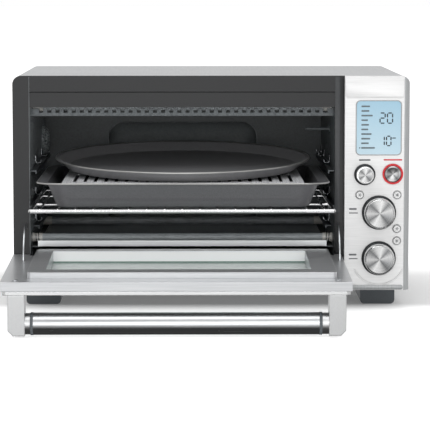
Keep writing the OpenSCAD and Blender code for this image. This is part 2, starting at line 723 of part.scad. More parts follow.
// Rounded trim down the fascia's outer side.
module fascia_edge() color([0.65, 0.66, 0.66]) {
    r = 6;
    difference() {
        intersection() {
            union() {
                block([fascia_r, face_y + r, z0], [right_x, frame_t, top_z]);
                block([fascia_r, face_y, z0], [right_x - r, frame_t, top_z]);
                translate([right_x - r, face_y + r, z0]) cylinder(r = r, h = house_h, $fn = 64);
            }
            block([fascia_r, face_y - 1, z0], [right_x, frame_t, top_z]);
            along_y(face_y - 1, frame_t + 1) house_outline();
        }
        intersection() {
            block([fascia_r - 1, face_y + face_t, z0], [right_x, frame_t + 1, top_z]);
            along_y(face_y, frame_t + 2) house_outline(face_t);
        }
    }
}

module lcd_window() color([0.75, 0.87, 0.94, 0.8])
    along_y(face_y - 0.4, face_y + face_t)
        rounded(lcd_c - [lcd_w, lcd_h] / 2, lcd_c + [lcd_w, lcd_h] / 2, 5);

module lcd_module() color([0.3, 0.4, 0.35])
    block([lcd_c[0] - lcd_w / 2 - 2, face_y + face_t, lcd_c[1] - lcd_h / 2 - 3],
          [lcd_c[0] + lcd_w / 2 + 2, face_y + face_t + 7, lcd_c[1] + lcd_h / 2 + 3]);

module control_board() color("darkgreen")
    block([fascia_l + 5, board_y, z0 + 20], [fascia_r - 1, board_y + 1.6, top_z - 20]);

module dial_encoders() color([0.5, 0.5, 0.52]) for (c = [function_c, temp_c, time_c])
    difference() {
        union() {
            block([c[0] - 6.5, -4, c[1] - 6.5], [c[0] + 6.5, board_y, c[1] + 6.5]);
            rod_y(c, 5, face_y + face_t, -3);
        }
        rod_y(c, shaft_r + shaft_fit, face_y, 11);
    }

module button_switches() color("black") {
    start_y = start_stem_y + start_press + clear;
    icon_y = icon_stem_y + icon_press + clear;
    block([start_c[0] - 4, start_y, start_c[1] - 4], [start_c[0] + 4, board_y, start_c[1] + 4]);
    for (c = icon_cs) block([c[0] - 3, icon_y, c[1] - 3], [c[0] + 3, board_y, c[1] + 3]);
}

module start_light_ring() color("red") difference() {
    rod_y(start_c, start_d / 2 + 2.6, face_y - 1, face_y + 4);
    rod_y(start_c, start_d / 2 + button_gap, face_y - 2, face_y + 5);
}

module power_board() color("darkgreen") {
    block([right_x - 14, 60, z0 + 14], [right_x - 12.4, 140, z0 + 120]);
    block([right_x - 40, 75, z0 + 30], [right_x - 14, 105, z0 + 60]);
    block([right_x - 32, 112, z0 + 70], [right_x - 14, 130, z0 + 100]);
    for (z = [z0 + 24, z0 + 110]) rod_x([70, z], 3, right_x - 12.4, right_x - sheet_t);
}

// A dial with a dished face, a grip step and a shaft that turns in its encoder.
module dial(c, d, h) {
    translate([c[0], face_y - 0.5, c[1]]) rotate([90, 0, 0]) rotate_extrude($fn = 96)
        polygon([[0, 0], [d / 2, 0], [d / 2, 3], [d / 2 - 1.6, 4], [d / 2 - 2.2, h - 1],
                 [d / 2 - 3, h], [d / 2 - 4.5, h], [d / 2 - 5.2, h - 0.8], [0, h - 1.6]]);
    rod_y(c, shaft_r, face_y - 1, 10);
}

module function_dial() color([0.75, 0.75, 0.76]) dial(function_c, small_dial_d, 14);
module temp_dial() color([0.75, 0.75, 0.76]) dial(temp_c, big_dial_d, 18);
module time_dial() color([0.75, 0.75, 0.76]) dial(time_c, big_dial_d, 18);

module start_button() color([0.75, 0.75, 0.76]) {
    rod_y(start_c, start_d / 2, face_y - 3, face_y + 5);
    rod_y(start_c, 3, face_y + 4, start_stem_y);
}

module icon_button(i) color([0.85, 0.85, 0.86]) {
    rod_y(icon_cs[i], icon_d / 2, face_y - 1.6, face_y + 4);
    rod_y(icon_cs[i], 2, face_y + 3, icon_stem_y);
}

placed() outer_wrap();
placed() base_plate();
placed() rear_panel();
placed() rear_cover();
placed() front_frame();
placed() front_header();
placed() cavity_floor();
placed() cavity_ceiling();
placed() cavity_wall_left();
placed() cavity_wall_right();
placed() cavity_back();
placed() pan_recess();
placed() rack_guides();
placed() top_guard();
placed() heater_tubes();
placed() heater_ceramics();
placed() temperature_probe();
placed() lamp_lens();
placed() lamp_bulb();
placed() lamp_housing();
placed() fan_grille();
placed() fan_chamber();
placed() fan_motor();
placed() fan_blade();
placed() feet();
placed() foot_pads();
placed() hinge_ears();
placed() cord_gland();
placed() rear_screws();
placed() control_fascia();
placed() fascia_edge();
placed() lcd_window();
placed() lcd_module();
placed() control_board();
placed() dial_encoders();
placed() button_switches();
placed() start_light_ring();
placed() power_board();
placed() door_panel();
placed() door_skin();
placed() door_inner_frame();
placed() door_glass_inner();
placed() door_glass_outer();
placed() handle_bar();
placed() handle_posts();
placed() handle_rings();
placed() check_arms();
placed() wire_rack();
placed() roasting_pan();
placed() broil_rack();
placed() pizza_pan();
placed() crumb_tray();
placed() function_dial();
placed() temp_dial();
placed() time_dial();
placed() start_button();
placed() icon_button(0);  // icon_button_a
placed() icon_button(1);  // icon_button_b
placed() icon_button(2);  // icon_button_c
placed() icon_button(3);  // icon_button_d
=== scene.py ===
import json
import math

import bmesh
import bpy
import numpy as np
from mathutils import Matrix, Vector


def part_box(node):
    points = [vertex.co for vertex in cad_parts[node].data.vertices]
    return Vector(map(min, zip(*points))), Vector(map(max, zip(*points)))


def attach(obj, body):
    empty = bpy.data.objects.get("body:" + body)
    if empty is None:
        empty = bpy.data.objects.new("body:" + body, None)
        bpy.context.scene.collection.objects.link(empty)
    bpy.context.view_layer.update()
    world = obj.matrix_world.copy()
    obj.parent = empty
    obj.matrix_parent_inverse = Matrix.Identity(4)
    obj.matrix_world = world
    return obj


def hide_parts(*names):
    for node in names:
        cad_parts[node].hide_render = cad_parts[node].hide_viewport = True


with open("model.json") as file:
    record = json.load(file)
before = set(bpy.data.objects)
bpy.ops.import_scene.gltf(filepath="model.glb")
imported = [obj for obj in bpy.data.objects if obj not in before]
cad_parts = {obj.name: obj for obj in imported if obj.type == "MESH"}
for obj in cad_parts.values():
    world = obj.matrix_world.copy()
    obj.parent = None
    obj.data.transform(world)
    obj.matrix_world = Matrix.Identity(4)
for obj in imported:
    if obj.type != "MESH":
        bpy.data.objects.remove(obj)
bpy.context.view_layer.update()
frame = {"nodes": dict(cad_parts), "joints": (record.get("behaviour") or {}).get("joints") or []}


# ---- outer wrap -----------------------------------------------------------------------------
# One stainless steel sheet folded over the top and both sides. It is linished along its
# length, so the grain runs from front to back and the highlight smears across it.

def linear(hex_colour, alpha=1.0):
    """An sRGB hex colour as linear RGBA: the standard sRGB curve undone on each channel."""
    srgb = [int(hex_colour[i:i + 2], 16) / 255 for i in (1, 3, 5)]
    return [c / 12.92 if c <= 0.04045 else ((c + 0.055) / 1.055) ** 2.4 for c in srgb] + [alpha]


def add(tree, kind, links=(), **settings):
    """Adds a node, sets its properties or inputs by name, and joins (output, input) pairs to it."""
    node = tree.nodes.new(kind)
    for name, value in settings.items():
        if hasattr(node, name):
            setattr(node, name, value)
        else:
            node.inputs[name.replace("_", " ")].default_value = value
    for output, socket in links:
        tree.links.new(output, node.inputs[socket])
    return node


def new_material(name, hex_colour, **settings):
    """A material of one principled shader, with its even values set on the shader itself."""
    material = bpy.data.materials.new(name)
    material.use_nodes = True
    shader = material.node_tree.nodes["Principled BSDF"]
    shader.inputs["Base Color"].default_value = linear(hex_colour)
    for key, value in settings.items():
        shader.inputs[key.replace("_", " ")].default_value = value
    return material


def grain(material, low, high, scale, stretch, rough=(0.3, 0.4), bump=0.0, edge=0.0004, detail=3.0):
    """Stretched noise in object space: it moves the colour from low to high and the roughness
    through its range, lifts the surface by bump metres, and rounds edges by a radius of edge."""
    tree = material.node_tree
    shader = tree.nodes["Principled BSDF"]
    place = add(tree, "ShaderNodeTexCoord")
    mapping = add(tree, "ShaderNodeMapping", [(place.outputs["Object"], "Vector")], Scale=stretch)
    noise = add(tree, "ShaderNodeTexNoise", [(mapping.outputs["Vector"], "Vector")],
                Scale=scale, Detail=detail, Roughness=0.6)
    colour = add(tree, "ShaderNodeValToRGB", [(noise.outputs["Fac"], "Fac")])
    colour.color_ramp.elements[0].position = 0.3
    colour.color_ramp.elements[1].position = 0.7
    colour.color_ramp.elements[0].color = linear(low)
    colour.color_ramp.elements[1].color = linear(high)
    tree.links.new(colour.outputs["Color"], shader.inputs["Base Color"])
    spread = add(tree, "ShaderNodeMapRange", [(noise.outputs["Fac"], "Value")],
                 To_Min=rough[0], To_Max=rough[1])
    tree.links.new(spread.outputs["Result"], shader.inputs["Roughness"])
    soft = add(tree, "ShaderNodeBevel", Radius=edge)
    soft.samples = 4
    lift = add(tree, "ShaderNodeBump", [(noise.outputs["Fac"], "Height"),
                                        (soft.outputs["Normal"], "Normal")],
               Strength=1.0 if bump else 0.0, Distance=bump)
    tree.links.new(lift.outputs["Normal"], shader.inputs["Normal"])


def dress(material, *nodes):
    """Gives each of these CAD nodes the material."""
    for name in nodes:
        for held in frame["nodes"][name].material_slots:
            held.material = material


# Linished stainless: bright, metallic, with fine lines about 0.3 mm apart drawn a little coarse.
linished = new_material("linished_stainless_sheet", "#c6c8ca", Metallic=1.0, Anisotropic=0.4)
grain(linished, "#bfc1c3", "#cfd0d1", 600, (1, 0.02, 1), rough=(0.28, 0.36), bump=2e-6,
      edge=0.0008)
dress(linished, "outer_wrap")

# ---- base, rear panel and rear cover --------------------------------------------------------
# Galvanised steel pressings, spot welded to the wrap. Zinc gives a faint cool spangle a few
# millimetres across, and the sheet is duller than the stainless.

galvanised = new_material("galvanised_steel_sheet", "#9a9d9f", Metallic=0.9)
grain(galvanised, "#8d9092", "#a5a8aa", 160, (1, 1, 1), rough=(0.42, 0.55), bump=4e-6, detail=1.0)
dress(galvanised, "base_plate", "rear_panel", "rear_cover", "lamp_housing", "fan_chamber")

# Zinc-plated screws and steel ears are a little brighter.
plated = new_material("zinc_plated_steel", "#b9bcbe", Metallic=1.0)
grain(plated, "#aeb1b4", "#c4c7c9", 900, (1, 1, 0.2), rough=(0.25, 0.35))
dress(plated, "rear_screws", "hinge_ears", "check_arms")

# ---- feet -----------------------------------------------------------------------------------
# Four hollow feet moulded in charcoal polypropylene with a spark-eroded texture, each on a
# rubber pad. The cord gland at the back is moulded from the same rubber.

moulded = new_material("charcoal_polypropylene", "#4b5054", IOR=1.49, Metallic=0.0)
grain(moulded, "#454a4e", "#53585c", 1800, (1, 1, 1), rough=(0.5, 0.62), bump=1.2e-5, edge=0.001)
dress(moulded, "feet")
rubber = new_material("black_nitrile_rubber", "#1b1c1d", IOR=1.52)
grain(rubber, "#161718", "#232425", 1200, (1, 1, 1), rough=(0.6, 0.75), bump=8e-6)
dress(rubber, "foot_pads", "cord_gland")

# ---- front frame ----------------------------------------------------------------------------
# A pressed steel surround in satin charcoal enamel, with a header strip above the door. Enamel
# has a slight orange peel, which breaks up what it reflects.

charcoal = new_material("charcoal_enamel_on_steel", "#111214", IOR=1.5)
grain(charcoal, "#0f1012", "#151618", 260, (1, 1, 1), rough=(0.36, 0.46), bump=1.5e-5, edge=0.0006)
dress(charcoal, "front_frame", "front_header")


def loft(rings, closed=False):
    """Points and faces of a solid carried through rings of equal count: quads join each ring to
    the next, and either the last joins the first or both ends are closed by one face."""
    rings = np.asarray(rings, float)
    count, around = rings.shape[:2]
    row = np.arange(count if closed else count - 1)[:, None]
    col = np.arange(around)[None, :]
    after, beside = (row + 1) % count, (col + 1) % around
    faces = np.stack([row * around + col, row * around + beside,
                      after * around + beside, after * around + col], -1).reshape(-1, 4).tolist()
    if not closed:
        faces.append(list(range(around)))
        faces.append(list(range((count - 1) * around, count * around)))
    return rings.reshape(-1, 3), faces


def piece(name, solid, body, material, smooth=40):
    """A new mesh piece from points and faces: doubles merged, normals turned outwards, edges
    sharper than the smooth angle kept, and set to ride on its body."""
    points, faces = solid
    mesh = bpy.data.meshes.new(name)
    mesh.from_pydata(np.asarray(points).tolist(), [], faces)
    work = bmesh.new()
    work.from_mesh(mesh)
    bmesh.ops.remove_doubles(work, verts=work.verts, dist=1e-7)
    bmesh.ops.recalc_face_normals(work, faces=work.faces)
    work.to_mesh(mesh)
    work.free()
    mesh.shade_smooth()
    mesh.set_sharp_from_angle(angle=math.radians(smooth))
    mesh.materials.append(material)
    made = bpy.data.objects.new(name, mesh)
    bpy.context.scene.collection.objects.link(made)
    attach(made, body)
    return made


def merged(solids):
    """Several solids as one list of points and faces."""
    points, faces, start = [], [], 0
    for p, f in solids:
        points.append(np.asarray(p, float))
        faces += [[i + start for i in face] for face in f]
        start += len(p)
    return np.concatenate(points), faces


def rounded_outline(w, h, r, n=6):
    """Points round a w by h rectangle with corners of radius r, n points to a corner."""
    r = min(r, w / 2 - 1e-6, h / 2 - 1e-6)
    turn = np.linspace(0, math.pi / 2, n)
    corners = [(w / 2 - r, h / 2 - r, 0), (r - w / 2, h / 2 - r, 1),
               (r - w / 2, r - h / 2, 2), (w / 2 - r, r - h / 2, 3)]
    return np.concatenate([np.stack([x + r * np.cos(turn + q * math.pi / 2),
                                     y + r * np.sin(turn + q * math.pi / 2)], -1)
                           for x, y, q in corners])


def front_plate(x, z, w, h, r, y_back, y_front, ease=0.0002):
    """A thin plate that faces the front: its outline at the back, at the front less ease, and
    drawn in by ease at the very front."""
    outline, inner = rounded_outline(w, h, r), rounded_outline(w - 2 * ease, h - 2 * ease, r)
    levels = ((outline, y_back), (outline, y_front + ease), (inner, y_front))
    return loft([np.stack([x + o[:, 0], np.full(len(o), y), z + o[:, 1]], -1) for o, y in levels])


front_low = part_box("front_frame")[0]
face = front_low.y
floor_low, floor_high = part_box("cavity_floor")
cavity_left, cavity_right = floor_low.x, floor_high.x
opening_low = floor_high.z
frame_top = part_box("front_header")[1].z

# How far the strips and the liner's edge stand in front of the frame, under the shut door.
strip_proud, edge_proud = 0.00125, 0.0014

# The side strips run the whole height in one piece, rounded at the outer upper corner.
corner = 0.0104
turn = np.linspace(math.pi / 2, math.pi, 13)
left_edge, strip_edge = front_low.x + 0.0003, cavity_left - 0.0007
outline = np.concatenate([
    [[strip_edge, opening_low - 0.004], [strip_edge, frame_top - 0.0003]],
    np.stack([left_edge + corner + corner * np.cos(turn),
              frame_top - 0.0003 - corner + corner * np.sin(turn)], -1),
    [[left_edge, opening_low - 0.004]]])
strip_rings = [np.stack([outline[:, 0], np.full(len(outline), y), outline[:, 1]], -1)
               for y in (face, face - strip_proud)]
piece("side_strip_left", loft(strip_rings), "housing", charcoal)

# The turned edge of the liner shows as a thin bright line down each side of the opening; its
# colour, lighter than the liner, is a painted highlight.
edge_painted_highlight = new_material("enamel_edge_painted_highlight", "#7d8183", Metallic=0.6)
grain(edge_painted_highlight, "#6f7375", "#8b8f91", 700, (1, 1, 0.1), rough=(0.3, 0.4))
line_high = frame_top - opening_low - 0.001
piece("liner_edge_left", front_plate(cavity_left - 0.0004, opening_low + line_high / 2, 0.0007,
      line_high, 0.0003, face, face - edge_proud), "housing", edge_painted_highlight)

# The latch strip beside the fascia is the same enamel over a lighter ground coat.
light_charcoal = new_material("grey_enamel_strip", "#303234", IOR=1.5)
grain(light_charcoal, "#2c2e30", "#36383a", 260, (1, 1, 1), rough=(0.36, 0.46), bump=1.5e-5)
piece("side_strip_right", front_plate(cavity_right + 0.0056, opening_low + line_high / 2, 0.0106,
      line_high, 0.0004, face, face - strip_proud), "housing", charcoal)
strip_low = opening_low + 0.052
piece("latch_strip", front_plate(cavity_right + 0.0032, (strip_low + frame_top) / 2, 0.0062,
      frame_top - strip_low - 0.002, 0.0008, face, face - edge_proud), "housing",
      light_charcoal)

# ---- cavity liner ---------------------------------------------------------------------------
# Folded steel in dark grey non-stick enamel, fired at low temperature, with a soft sheen and
# fine grit. The probe has the same enamel, so that it doesn't stand out as a bright rod.

liner = new_material("non_stick_liner_enamel", "#575d5f", IOR=1.5)
grain(liner, "#525759", "#5f6567", 420, (1, 1, 1), rough=(0.34, 0.48), bump=1e-5, edge=0.0006)
dress(liner, "cavity_floor", "cavity_ceiling", "cavity_wall_right", "cavity_back", "fan_grille",
      "temperature_probe")

# The liner enamel is painted lighter and given more gloss on the recess and the left wall, as
# painted light where little light reaches them.
liner_painted_light = new_material("liner_enamel_painted_light", "#868b8d", IOR=1.5)
grain(liner_painted_light, "#808587", "#8f9496", 420, (1, 1, 1), rough=(0.2, 0.3), bump=1e-5)
dress(liner_painted_light, "cavity_wall_left")

# Bare steel stained by heat is blotchy and half dull.
guard_steel = new_material("heat_stained_steel", "#55595b", Metallic=0.7)
grain(guard_steel, "#45494b", "#686c6e", 300, (1, 1, 1), rough=(0.3, 0.5))
dress(guard_steel, "rack_guides", "top_guard")


def carried(path, radius, around=10, closed=False):
    """A round section of the given radius carried along a path of points: each ring lies across
    the path's own direction, and its first spoke is square to the direction and to a fixed up."""
    path = np.asarray(path, float)
    if closed:
        ahead = np.roll(path, -1, 0) - np.roll(path, 1, 0)
    else:
        ahead = np.gradient(path, axis=0)
    ahead /= np.linalg.norm(ahead, axis=1)[:, None]
    up = np.array([0.31, 0.17, 0.93])
    side = np.cross(ahead, up)
    side /= np.linalg.norm(side, axis=1)[:, None]
    over = np.cross(side, ahead)
    angle = np.linspace(0, 2 * math.pi, around, endpoint=False)
    radius = np.broadcast_to(radius, len(path))[:, None, None]
    rings = path[:, None] + radius * (np.cos(angle)[None, :, None] * side[:, None]
                                      + np.sin(angle)[None, :, None] * over[:, None])
    return loft(rings, closed)


# The pressed bead round the pan recess catches the light as a thin line, and its lighter colour
# paints that highlight.
recess_low, recess_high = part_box("pan_recess")
back_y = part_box("cavity_back")[0].y
recess_w, recess_h = recess_high.x - recess_low.x - 0.0024, recess_high.z - recess_low.z - 0.0024
bead = rounded_outline(recess_w, recess_h, 0.020, 14)
bead = np.stack([bead[:, 0] + (recess_low.x + recess_high.x) / 2, np.full(len(bead), back_y),
                 bead[:, 1] + (recess_low.z + recess_high.z) / 2], -1)
piece("recess_bead", carried(bead, 0.0008, 8, closed=True), "housing", edge_painted_highlight)

# The recess itself is deep drawn: its walls run straight back and roll over into the rear face
# through a wide radius, which catches a soft band of light along the top.
shell, roll = 0.0012, 0.017
recess_x, recess_z = (recess_low.x + recess_high.x) / 2, (recess_low.z + recess_high.z) / 2


def recess_ring(inset, y):
    """The recess outline drawn in by inset at depth y."""
    o = rounded_outline(recess_w - 2 * inset, recess_h - 2 * inset, 0.020 - inset * 0.5, 14)
    return np.stack([recess_x + o[:, 0], np.full(len(o), y), recess_z + o[:, 1]], -1)


rear = recess_high.y
bends = np.linspace(0, math.pi / 2, 8)
outside = [recess_ring(roll * (1 - math.cos(a)) - shell, rear - roll + roll * math.sin(a))
           for a in bends[::-1]] + [recess_ring(-shell, recess_low.y)]
inside = [recess_ring(0.0, recess_low.y)] + [
    recess_ring(roll * (1 - math.cos(a)), rear - roll - shell + roll * math.sin(a)) for a in bends]
# The drawn recess takes the lighter liner enamel, which paints light into it.
drawn = piece("pan_recess_drawn", loft(np.array(outside + inside)), "housing",
              liner_painted_light)
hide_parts("pan_recess")

# ---- rack hooks -----------------------------------------------------------------------------
# Bent wire clips that hold each ledge to the side wall: down the wall, out and up again. Their
# nickel plating is darker than the rack's chrome.

hook_wire = new_material("nickel_plated_wire", "#a8abad", Metallic=1.0)
grain(hook_wire, "#989b9e", "#b8bbbd", 900, (1, 1, 1), rough=(0.2, 0.3))
ledge_heights, hook_depths = (0.172, 0.1335, 0.101), (0.02, 0.13, 0.19)
turn = np.array([[0.0008, 0.009], [0.0008, 0.002], [0.002, 0.0], [0.0055, 0.0], [0.0075, 0.001],
                 [0.0078, 0.004]])
fine = np.linspace(0, len(turn) - 1, 31)
bend = np.stack([np.interp(fine, range(len(turn)), turn[:, i]) for i in (0, 1)], -1)
hooks = []
for z in ledge_heights:
    for y in hook_depths:
        for wall, out in ((cavity_left, 1), (cavity_right, -1)):
            hooks.append(carried(np.stack([wall + out * bend[:, 0], np.full(len(bend), y),
                                           z + bend[:, 1]], -1), 0.0007, 8))
piece("rack_hooks", merged(hooks), "housing", hook_wire)

# ---- heaters --------------------------------------------------------------------------------
# Frosted quartz tubes with a coiled resistance wire inside, held at each end by a glazed
# steatite cap. The frosting turns them a milky grey when they are cold.

quartz = new_material("frosted_quartz_tube", "#b8bec1", IOR=1.46, Transmission_Weight=0.1)
grain(quartz, "#adb3b6", "#c4cacd", 500, (0.1, 1, 1), rough=(0.22, 0.34))
dress(quartz, "heater_tubes")
steatite = new_material("glazed_steatite", "#e4e2dc", IOR=1.55, Coat_Weight=0.4)
grain(steatite, "#dcdad3", "#eceae5", 600, (1, 1, 1), rough=(0.2, 0.3))
dress(steatite, "heater_ceramics")

# A spring clip of the same wire grips each end of the front lower tube: two turns of a coil.
tube_r, clip_r, clip_long = 0.0048, 0.0061, 0.006
tube_y, tube_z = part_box("heater_tubes")[0].y + tube_r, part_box("heater_tubes")[0].z + tube_r
turn = np.linspace(0, 4 * math.pi, 65)
clips = []
for wall, out in ((cavity_left, 1), (cavity_right, -1)):
    clips.append(carried(np.stack([wall + out * (0.003 + clip_long * turn / (4 * math.pi)),
                                   tube_y + clip_r * np.cos(turn), tube_z + clip_r * np.sin(turn)],
                                  -1), 0.0006, 8))
piece("heater_clips", merged(clips), "housing", hook_wire)

# ---- cavity lamp ----------------------------------------------------------------------------
# A borosilicate lens pressed with dimples, in front of a halogen capsule. The dimples scatter
# the light, and the lens colour is mottled from dark to near white as painted sparkles.

lens_low, lens_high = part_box("lamp_lens")
centre_y, centre_z = (lens_low.y + lens_high.y) / 2, (lens_low.z + lens_high.z) / 2
lens_r, lens_deep = (lens_high.z - lens_low.z) / 2, lens_high.x - lens_low.x
turn = np.linspace(0, 2 * math.pi, 96, endpoint=False)[None, :]
out = np.linspace(1.0, 0.02, 40)[:, None]
rise = lens_deep * np.clip(1.08 - out ** 4, 0, 1) * 0.9
dimple = 0.0007 * np.sin(out * 26) * np.sin(turn * 9 + out * 5) * np.clip((1 - out) * 8, 0, 1)
lens = np.stack([lens_low.x + np.clip(rise + dimple, 0.0002, lens_deep),
                 centre_y + lens_r * out * np.cos(turn),
                 centre_z + lens_r * out * np.sin(turn)], -1)
rim = lens[:1].copy()
rim[..., 0] = lens_low.x
glass = new_material("dimpled_borosilicate_painted_sparkle", "#c3cccf", IOR=1.47, Transmission_Weight=0.15,
                     Coat_Weight=0.6)
# The dark to white mottling in the colour is painted sparkle.
grain(glass, "#4b5458", "#eef4f6", 420, (1, 1, 1), rough=(0.05, 0.16), bump=3e-4)
lamp = piece("lamp_lens_dimpled", loft(np.concatenate([rim, lens])), "housing",
             glass)
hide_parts("lamp_lens")

# The capsule behind it is clear and nearly colourless.
capsule = new_material("halogen_capsule_glass", "#d9dcd8", IOR=1.46)
grain(capsule, "#cfd2ce", "#e6e8e4", 500, (1, 1, 1), rough=(0.08, 0.14))
dress(capsule, "lamp_bulb")

# ---- convection fan -------------------------------------------------------------------------
# A stamped aluminium fan on a small induction motor, in a drum behind the right wall.

stamped = new_material("stamped_aluminium", "#b4b6b8", Metallic=1.0)
grain(stamped, "#a9abad", "#c0c2c4", 800, (1, 0.1, 1), rough=(0.3, 0.4))
dress(stamped, "fan_blade")

# Moulded nylon is a dull black, and a board's solder mask is a glossy green.
motor_plastic = new_material("black_nylon_moulding", "#26282a", IOR=1.53)
grain(motor_plastic, "#222426", "#2c2e30", 1500, (1, 1, 1), rough=(0.45, 0.55), bump=8e-6)
dress(motor_plastic, "fan_motor", "dial_encoders", "button_switches")
board = new_material("solder_masked_board", "#1d5a38", IOR=1.5)
grain(board, "#184e30", "#246a43", 350, (1, 1, 1), rough=(0.25, 0.35))
dress(board, "control_board", "power_board", "lcd_module")

# ---- door -----------------------------------------------------------------------------------
# A pressed stainless panel with a bright outer skin, a raised inner frame and two panes of
# tempered glass. The lines of the linishing run across the door.

door_steel = new_material("linished_stainless_door", "#c3c5c7", Metallic=0.75, Anisotropic=0.4)
grain(door_steel, "#bcbec0", "#cccdcf", 600, (0.02, 1, 1), rough=(0.26, 0.36), bump=2e-6,
      edge=0.0007)
dress(door_steel, "door_panel", "door_inner_frame")
skin_steel = new_material("bright_stainless_skin", "#d6d7d8", Metallic=1.0)
grain(skin_steel, "#d0d1d2", "#dedfdf", 600, (0.02, 1, 1), rough=(0.18, 0.26), edge=0.0012)
dress(skin_steel, "door_skin")
# The panes are coloured pale and let little light through, which paints the light they reflect.
pane = new_material("float_glass_painted_reflection", "#d8e4e0", IOR=1.52, Transmission_Weight=0.1)
grain(pane, "#d2dedb", "#dfe9e6", 30, (1, 1, 1), rough=(0.06, 0.1))
dress(pane, "door_glass_inner", "door_glass_outer")

hinge = next(j for j in frame["joints"] if j["name"] == "door_hinge")
hinge_y, hinge_z = hinge["pos_m"][1:]

# The door rests open by this angle, with its inner face half a panel above the hinge line.
open_angle = math.radians(92)
panel_thick_half = 0.0055


def on_door(x, along, above):
    """A point x across, along the door from its hinge line, and above its inner face."""
    y, z = above + panel_thick_half, along
    return np.stack(np.broadcast_arrays(
        x, hinge_y + y * math.cos(open_angle) - z * math.sin(open_angle),
        hinge_z + y * math.sin(open_angle) + z * math.cos(open_angle)), -1)


# A pale heat-proof seal lines the hinge side of the window, with the green edge of the pane
# below. The seal's pale colour and faint glow are painted light on that side of the window.
seal_painted_light = new_material("pale_seal_painted_light", "#f4f6f6", IOR=1.43, Emission_Strength=0.2)
seal_painted_light.node_tree.nodes["Principled BSDF"].inputs["Emission Color"].default_value = linear("#f0f2f2")
grain(seal_painted_light, "#f0f2f2", "#f8fafa", 900, (1, 1, 1), rough=(0.4, 0.5), bump=4e-6)
pane_green = new_material("green_glass_edge", "#7f9a90", IOR=1.52)
grain(pane_green, "#78938a", "#88a298", 900, (1, 1, 1), rough=(0.15, 0.25))
pane_low, pane_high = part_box("door_glass_inner")
window_x, window_half = (pane_low.x + pane_high.x) / 2, (pane_high.x - pane_low.x) / 2 - 0.0051


def door_bar(x0, x1, along0, along1, above0, above1):
    """A box on the door between two distances across, along and above it."""
    corners = [(along0, above0), (along1, above0), (along1, above1), (along0, above1)]
    return loft(np.array([[on_door(x, a, b) for a, b in corners] for x in (x0, x1)]))


sill_at = 0.0135
# The seal's glow is painted light: it is no lamp.
piece("window_seal", door_bar(window_x - window_half, window_x + window_half, sill_at,
      sill_at + 0.0008, -0.0062, 0.0060), "door", seal_painted_light)
piece("window_glass_edge", door_bar(window_x - window_half, window_x + window_half, sill_at,
      sill_at + 0.0009, -0.0075, -0.0058), "door", pane_green)

# Two domed steel studs near the free corners meet the frame when the door shuts.
stud_across, stud_along = (-0.219, 0.1395), 0.186
turn = np.linspace(0, 2 * math.pi, 32, endpoint=False)[None, :]
radius = np.array([0.0036, 0.0036, 0.0031, 0.0018, 0.0004])[:, None]
height = np.array([0.0, 0.0006, 0.0010, 0.0013, 0.0014])[:, None]
studs = [loft(on_door(x + radius * np.cos(turn), stud_along + radius * np.sin(turn), height))
         for x in stud_across]
piece("door_studs", merged(studs), "door", plated)

# ---- handle ---------------------------------------------------------------------------------
# A drawn stainless tube between two cast posts, with a dark ring at each end of the tube. The
# tube's satin lines run along it, and the zinc of the posts is even and a little softer.

tube_steel = new_material("satin_stainless_tube", "#c2c4c6", Metallic=1.0, Anisotropic=0.5)
grain(tube_steel, "#babcbe", "#cbcdce", 700, (0.02, 1, 1), rough=(0.22, 0.3), bump=1e-6)
dress(tube_steel, "handle_bar")
cast = new_material("satin_cast_zinc", "#c9cacb", Metallic=1.0)
grain(cast, "#c6c7c8", "#d0d1d1", 900, (1, 1, 1), rough=(0.3, 0.38), edge=0.0014)
dress(cast, "handle_posts")
dress(moulded, "handle_rings")

# ---- wire rack ------------------------------------------------------------------------------
# Drawn steel wire, spot welded and chrome plated bright, so it shows whatever is round it.

chrome = new_material("bright_chrome_plate", "#cccccc", Metallic=1.0)
grain(chrome, "#c0c0c0", "#d8d8d8", 500, (1, 1, 1), rough=(0.1, 0.2))
# The tips are a paler, less metallic white than the chrome: a painted highlight.
tip_painted_highlight = new_material("chrome_tip_painted_highlight", "#f2f2f2", Metallic=0.4)
grain(tip_painted_highlight, "#ececec", "#f8f8f8", 900, (1, 1, 1), rough=(0.1, 0.2))
dress(chrome, "wire_rack")

# The welded long wires end in rounded tips that stand just in front of the front wire.
rack_low, rack_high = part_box("wire_rack")
rack_x, tip_pitch, tips_each_side = (rack_low.x + rack_high.x) / 2, 0.0205, 8
tip_y, tip_z = rack_low.y + 0.0001, rack_high.z - 0.0017
turn = np.linspace(0, 2 * math.pi, 12, endpoint=False)[None, :]
out = np.array([[0.0016], [0.0016], [0.0012], [0.0004]])
back = np.array([[0.004], [0.0006], [0.0001], [0.0]])
tips = [loft(np.stack(np.broadcast_arrays(rack_x + i * tip_pitch + out * np.cos(turn),
                                          tip_y + back, tip_z + out * np.sin(turn)), -1))
        for i in range(-tips_each_side, tips_each_side + 1)]
piece("rack_wire_tips", merged(tips), "rack", tip_painted_highlight)

# ---- roasting pan ---------------------------------------------------------------------------
# A deep-drawn steel pan in dark speckled enamel. Its wall leans out, turns over into a flat
# rim and ends in a rolled bead, coloured as light steel to paint the highlight along the rim.

enamel = new_material("speckled_vitreous_enamel", "#515153", IOR=1.5, Coat_Weight=0.3)
grain(enamel, "#49494b", "#5d5d60", 900, (1, 1, 1), rough=(0.28, 0.4), bump=8e-6, detail=6.0)
pan_low, pan_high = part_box("roasting_pan")
pan_x, pan_y = (pan_low.x + pan_high.x) / 2, (pan_low.y + pan_high.y) / 2
pan_w, pan_d = pan_high.x - pan_low.x, pan_high.y - pan_low.y
rim_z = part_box("broil_rack")[1].z
base_z = pan_low.z


def pan_ring(w, d, r, z, n=12):
    """One level of the pan: a rounded rectangle w by d at height z."""
    o = rounded_outline(w, d, r, n)
    return np.stack([pan_x + o[:, 0], pan_y + o[:, 1], np.full(len(o), z)], -1)


